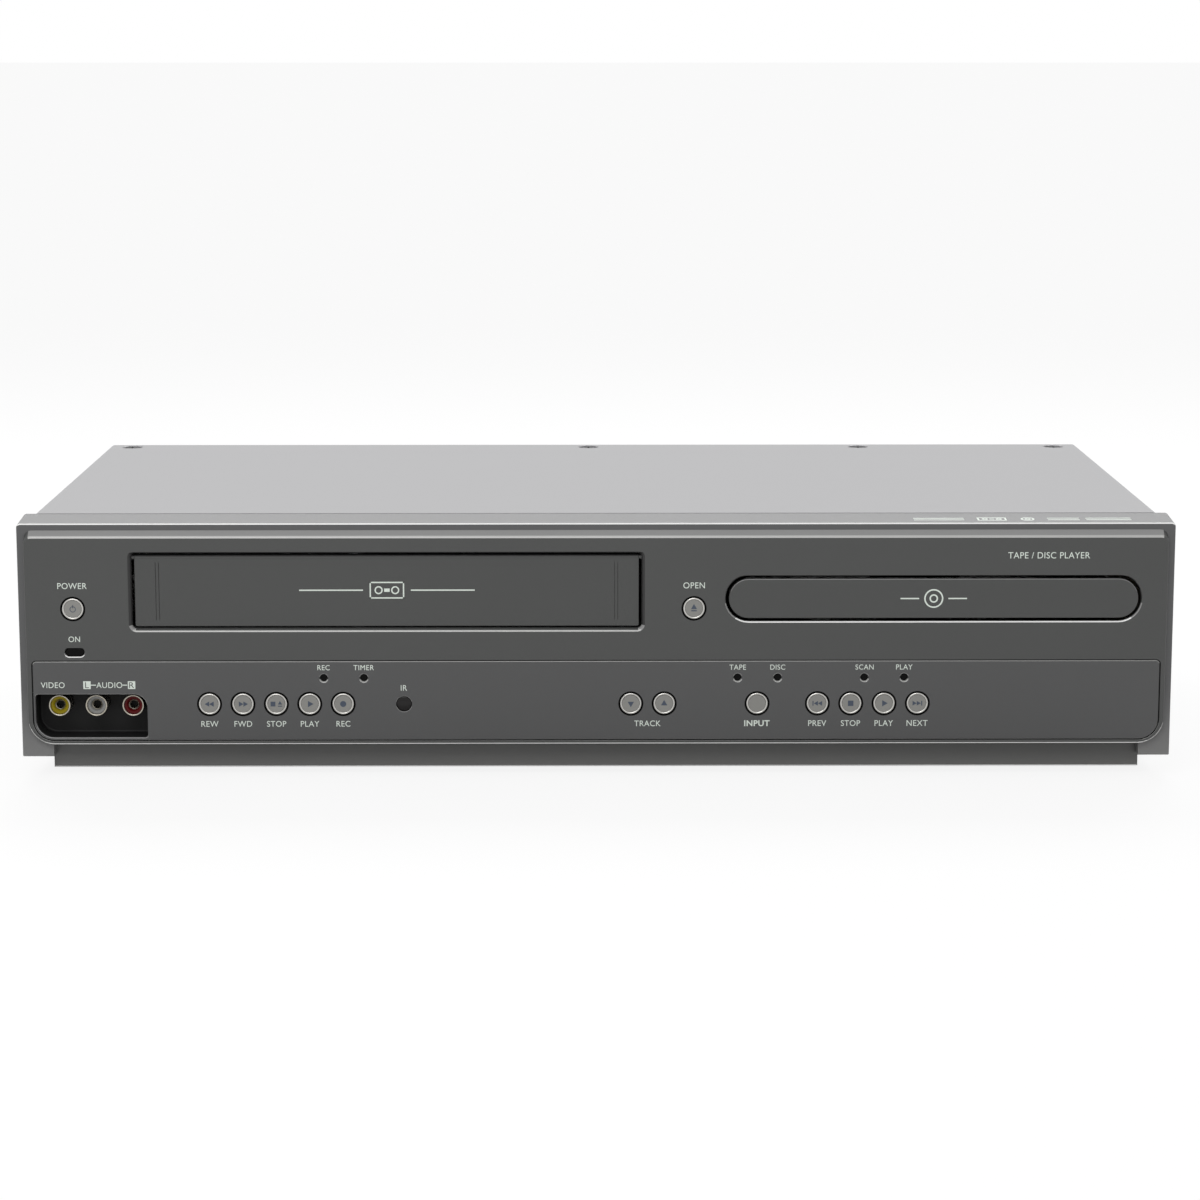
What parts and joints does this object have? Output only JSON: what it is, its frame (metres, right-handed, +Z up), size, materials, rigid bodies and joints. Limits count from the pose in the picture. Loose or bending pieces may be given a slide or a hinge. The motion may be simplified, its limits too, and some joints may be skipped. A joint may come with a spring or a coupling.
{
  "type": "tape and disc combo player",
  "caption": "Table-top player with a cassette slot behind a hinged flap, a sliding disc tray, push buttons and front jacks in a folded steel case.",
  "frame": {"origin": "centre of the footprint, on the surface that the feet stand on", "axes": "+Z up, +X to the right seen from the front, the front looks along -Y"},
  "size_m": [0.435, 0.236, 0.099],
  "materials": {
    "bezel_plastic": "fine textured moulding, dark grey",
    "panel_plastic": "fine textured moulding, dark grey",
    "flap_plastic": "fine textured moulding, dark grey",
    "cover_paint": "satin grey paint on folded steel",
    "zinc_steel": "zinc plated sheet",
    "foot_rubber": "matt black rubber",
    "screw_black": "black oxide",
    "jack_black": "black moulding",
    "plated_brass": "nickel plated",
    "jack_colours": "yellow, white and red insulators",
    "ir_lens": "infrared window, near black",
    "clear_lens": "smoked clear window",
    "board_green": "solder mask",
    "board_brown": "phenolic board",
    "switch_black": "small switch bodies",
    "button_silver": "silver painted caps with bright rims",
    "mechanism_black": "moulded mechanism parts",
    "mechanism_white": "natural acetal",
    "holder_steel": "bright sheet",
    "machined_alloy": "turned aluminium",
    "polished_steel": "ground steel"
  },
  "bodies": {
    "chassis": {"bottom_chassis": "zinc_steel", "front_bezel": "bezel_plastic", "control_panel": "panel_plastic", "top_cover": "cover_paint", "rear_panel": "zinc_steel", "feet": "foot_rubber", "cover_screws": "screw_black", "cord_gland": "foot_rubber", "jack_recess": "jack_black", "jack_sleeves": "plated_brass", "jack_rings": "jack_colours", "ir_window": "ir_lens", "power_lens": "clear_lens", "status_lights": "clear_lens", "front_board": "board_green", "switches": "switch_black", "main_board": "board_green", "power_board": "board_brown", "rear_jacks": "jack_black", "antenna_tuner": "plated_brass", "tape_deck": "zinc_steel", "side_brackets": "zinc_steel", "lower_drum": "machined_alloy", "loader_frame": "mechanism_black", "clamp_bridge": "zinc_steel", "tray_motor": "polished_steel", "tray_belt": "foot_rubber"},
    "power_button": {"power_button": "button_silver"},
    "open_button": {"open_button": "button_silver"},
    "rewind_button": {"rewind_button": "button_silver"},
    "forward_button": {"forward_button": "button_silver"},
    "tape_stop_button": {"tape_stop_button": "button_silver"},
    "tape_play_button": {"tape_play_button": "button_silver"},
    "record_button": {"record_button": "button_silver"},
    "track_down_button": {"track_down_button": "button_silver"},
    "track_up_button": {"track_up_button": "button_silver"},
    "source_button": {"source_button": "button_silver"},
    "previous_button": {"previous_button": "button_silver"},
    "disc_stop_button": {"disc_stop_button": "button_silver"},
    "disc_play_button": {"disc_play_button": "button_silver"},
    "next_button": {"next_button": "button_silver"},
    "flap": {"cassette_flap": "flap_plastic"},
    "carriage": {"loading_carriage": "mechanism_black"},
    "holder": {"cassette_holder": "holder_steel"},
    "drum": {"head_drum": "machined_alloy"},
    "capstan": {"capstan": "polished_steel"},
    "pinch_arm": {"pinch_arm": "polished_steel"},
    "pinch_roller": {"pinch_roller": "foot_rubber"},
    "supply_reel": {"supply_reel": "mechanism_white"},
    "takeup_reel": {"takeup_reel": "mechanism_white"},
    "tray": {"disc_tray": "mechanism_black", "tray_front": "flap_plastic"},
    "tray_gear": {"tray_gear": "mechanism_white"},
    "motor_pulley": {"motor_pulley": "mechanism_white"},
    "clamper": {"clamper": "mechanism_black"},
    "traverse": {"traverse": "zinc_steel", "guide_rods": "polished_steel", "spindle_motor": "polished_steel"},
    "turntable": {"turntable": "mechanism_black"},
    "sled": {"pickup_sled": "mechanism_black"}
  },
  "joints": [
    {"name": "power_press", "type": "slide", "parent": "chassis", "child": "power_button", "axis": [0, 1, 0], "range_m": [0, 0.001], "stiffness_N_per_m": 600, "springref_m": -0.0008},
    {"name": "open_press", "type": "slide", "parent": "chassis", "child": "open_button", "axis": [0, 1, 0], "range_m": [0, 0.001], "stiffness_N_per_m": 600, "springref_m": -0.0008},
    {"name": "rewind_press", "type": "slide", "parent": "chassis", "child": "rewind_button", "axis": [0, 1, 0], "range_m": [0, 0.001], "stiffness_N_per_m": 600, "springref_m": -0.0008},
    {"name": "forward_press", "type": "slide", "parent": "chassis", "child": "forward_button", "axis": [0, 1, 0], "range_m": [0, 0.001], "stiffness_N_per_m": 600, "springref_m": -0.0008},
    {"name": "tape_stop_press", "type": "slide", "parent": "chassis", "child": "tape_stop_button", "axis": [0, 1, 0], "range_m": [0, 0.001], "stiffness_N_per_m": 600, "springref_m": -0.0008},
    {"name": "tape_play_press", "type": "slide", "parent": "chassis", "child": "tape_play_button", "axis": [0, 1, 0], "range_m": [0, 0.001], "stiffness_N_per_m": 600, "springref_m": -0.0008},
    {"name": "record_press", "type": "slide", "parent": "chassis", "child": "record_button", "axis": [0, 1, 0], "range_m": [0, 0.001], "stiffness_N_per_m": 600, "springref_m": -0.0008},
    {"name": "track_down_press", "type": "slide", "parent": "chassis", "child": "track_down_button", "axis": [0, 1, 0], "range_m": [0, 0.001], "stiffness_N_per_m": 600, "springref_m": -0.0008},
    {"name": "track_up_press", "type": "slide", "parent": "chassis", "child": "track_up_button", "axis": [0, 1, 0], "range_m": [0, 0.001], "stiffness_N_per_m": 600, "springref_m": -0.0008},
    {"name": "source_press", "type": "slide", "parent": "chassis", "child": "source_button", "axis": [0, 1, 0], "range_m": [0, 0.001], "stiffness_N_per_m": 600, "springref_m": -0.0008},
    {"name": "previous_press", "type": "slide", "parent": "chassis", "child": "previous_button", "axis": [0, 1, 0], "range_m": [0, 0.001], "stiffness_N_per_m": 600, "springref_m": -0.0008},
    {"name": "disc_stop_press", "type": "slide", "parent": "chassis", "child": "disc_stop_button", "axis": [0, 1, 0], "range_m": [0, 0.001], "stiffness_N_per_m": 600, "springref_m": -0.0008},
    {"name": "disc_play_press", "type": "slide", "parent": "chassis", "child": "disc_play_button", "axis": [0, 1, 0], "range_m": [0, 0.001], "stiffness_N_per_m": 600, "springref_m": -0.0008},
    {"name": "next_press", "type": "slide", "parent": "chassis", "child": "next_button", "axis": [0, 1, 0], "range_m": [0, 0.001], "stiffness_N_per_m": 600, "springref_m": -0.0008},
    {"name": "flap_swing", "type": "hinge", "parent": "chassis", "child": "flap", "pos_m": [-0.0788, -0.115, 0.0849], "axis": [1, 0, 0], "range_deg": [0, 88], "stiffness_Nm_per_rad": 0.004, "springref_deg": -34.38},
    {"name": "carriage_in", "type": "slide", "parent": "chassis", "child": "carriage", "axis": [0, 1, 0], "range_m": [0, 0.045]},
    {"name": "holder_down", "type": "slide", "parent": "carriage", "child": "holder", "axis": [0, 0, -1], "range_m": [0, 0.02]},
    {"name": "drum_spin", "type": "hinge", "parent": "chassis", "child": "drum", "pos_m": [-0.0788, 0.0655, 0.05], "axis": [0, 0, 1], "continuous": true},
    {"name": "capstan_spin", "type": "hinge", "parent": "chassis", "child": "capstan", "pos_m": [-0.0188, 0.037, 0.04], "axis": [0, 0, 1], "continuous": true},
    {"name": "pinch_swing", "type": "hinge", "parent": "chassis", "child": "pinch_arm", "pos_m": [0.008, 0.053, 0.04], "axis": [0, 0, 1], "range_deg": [0, 30]},
    {"name": "roller_spin", "type": "hinge", "parent": "pinch_arm", "child": "pinch_roller", "pos_m": [-0.01901, 0.05982, 0.05], "axis": [0, 0, 1], "continuous": true},
    {"name": "supply_spin", "type": "hinge", "parent": "chassis", "child": "supply_reel", "pos_m": [-0.1248, -0.03, 0.036], "axis": [0, 0, 1], "continuous": true},
    {"name": "takeup_spin", "type": "hinge", "parent": "chassis", "child": "takeup_reel", "pos_m": [-0.0328, -0.03, 0.036], "axis": [0, 0, 1], "continuous": true},
    {"name": "tray_slide", "type": "slide", "parent": "chassis", "child": "tray", "axis": [0, -1, 0], "range_m": [0, 0.135]},
    {"name": "tray_gear_spin", "type": "hinge", "parent": "chassis", "child": "tray_gear", "pos_m": [0.085, -0.094, 0.05], "axis": [0, 0, 1], "range_deg": [0, 775]},
    {"name": "pulley_spin", "type": "hinge", "parent": "chassis", "child": "motor_pulley", "pos_m": [0.125, -0.09, 0.05], "axis": [0, 0, 1], "range_deg": [0, 2910]},
    {"name": "clamper_spin", "type": "hinge", "parent": "chassis", "child": "clamper", "pos_m": [0.1267, -0.046, 0.072], "axis": [0, 0, 1], "continuous": true},
    {"name": "traverse_lift", "type": "slide", "parent": "chassis", "child": "traverse", "axis": [0, 0, 1], "range_m": [0, 0.007]},
    {"name": "turntable_spin", "type": "hinge", "parent": "traverse", "child": "turntable", "pos_m": [0.1267, -0.046, 0.058], "axis": [0, 0, 1], "continuous": true},
    {"name": "sled_slide", "type": "slide", "parent": "traverse", "child": "sled", "axis": [0, 1, 0], "range_m": [0, 0.034]}
  ],
  "couplings": [
    {"joint": "tray_gear_spin", "follows": "tray_slide", "rad_per_m": 100},
    {"joint": "pulley_spin", "follows": "tray_slide", "rad_per_m": 375}
  ]
}
